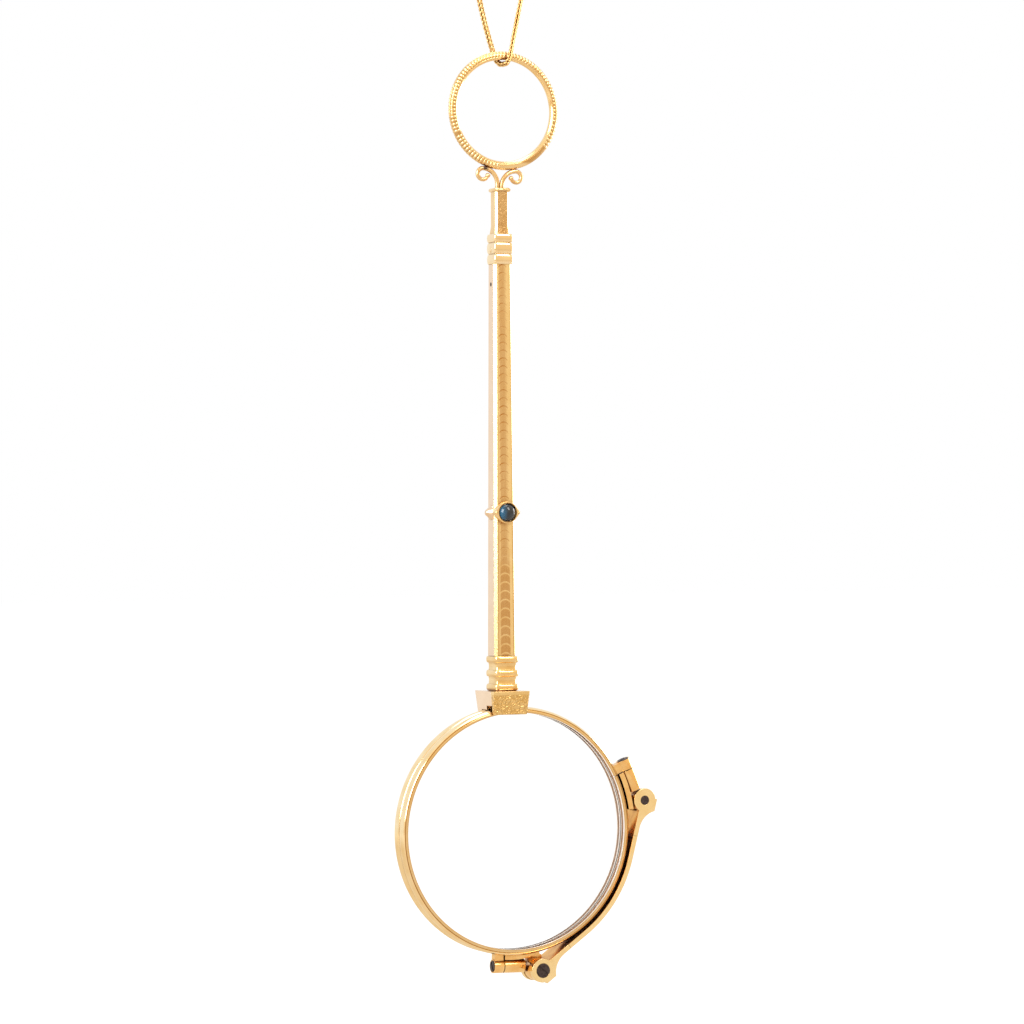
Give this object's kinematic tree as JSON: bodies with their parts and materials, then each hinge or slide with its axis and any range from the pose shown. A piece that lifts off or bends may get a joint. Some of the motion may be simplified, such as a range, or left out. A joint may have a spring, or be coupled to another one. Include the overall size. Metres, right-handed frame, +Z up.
{
  "type": "folding lorgnette",
  "caption": "Gold folding lorgnette: round lenses stacked on a slim engraved handle, a jewelled push-button catch, a sprung bridge that swings the front lens out, and a milled ring with a chain",
  "frame": {"origin": "centre of the suspension ring", "axes": "+Z up along the handle towards the ring, front of the lenses towards -Y, +X right seen from the front"},
  "size_m": [0.0418, 0.007, 0.1546],
  "materials": {
    "gold": "polished yellow gold",
    "steel": "dark steel",
    "lens": "clear",
    "stone": "dark blue cabochon"
  },
  "bodies": {
    "handle": {"suspension_ring": "gold", "scroll_left": "gold", "scroll_right": "gold", "finial_shaft": "gold", "top_collar": "gold", "collar_rivet": "gold", "handle_tube": "gold", "gem_setting": "gold", "neck_mouldings": "gold", "catch_block": "gold", "catch_face": "gold", "rear_rim": "gold", "rear_lens": "lens", "rear_closing_knuckle": "gold", "rear_closing_screw": "steel", "rear_pivot_lug": "gold", "lever_pin": "steel", "latch_spring": "steel", "chain": "gold", "chain_ends": "gold"},
    "bridge": {"bridge_bow": "gold", "upper_fork": "gold", "lower_fork": "gold", "upper_hinge_screw": "steel", "lower_hinge_screw": "steel", "upper_hinge_spring": "steel", "lower_hinge_spring": "steel"},
    "free_lens": {"front_rim": "gold", "front_lens": "lens", "front_closing_knuckle": "gold", "front_closing_screw": "steel", "front_pivot_lug": "gold"},
    "push_button": {"button_cup": "gold", "cabochon": "stone"},
    "latch": {"latch_lever": "steel"}
  },
  "joints": [
    {"name": "bridge_swing", "type": "hinge", "parent": "handle", "child": "bridge", "pos_m": [0.00461, -0.00042, -0.12904], "axis": [0, 1, 0], "range_deg": [0, 90]},
    {"name": "lens_swing", "type": "hinge", "parent": "bridge", "child": "free_lens", "pos_m": [0.0217, -0.00042, -0.10406], "axis": [0, 1, 0], "range_deg": [0, 30.1]},
    {"name": "button_push", "type": "slide", "parent": "handle", "child": "push_button", "axis": [0, 1, 0], "range_m": [0, 0.0003]},
    {"name": "latch_tilt", "type": "hinge", "parent": "handle", "child": "latch", "pos_m": [-0.0007, 0.00005, -0.0261], "axis": [1, 0, 0], "range_deg": [0, 0.505]}
  ],
  "couplings": [
    {"joint": "lens_swing", "follows": "bridge_swing", "ratio": 0.33333},
    {"joint": "latch_tilt", "follows": "button_push", "rad_per_m": 29.24}
  ]
}
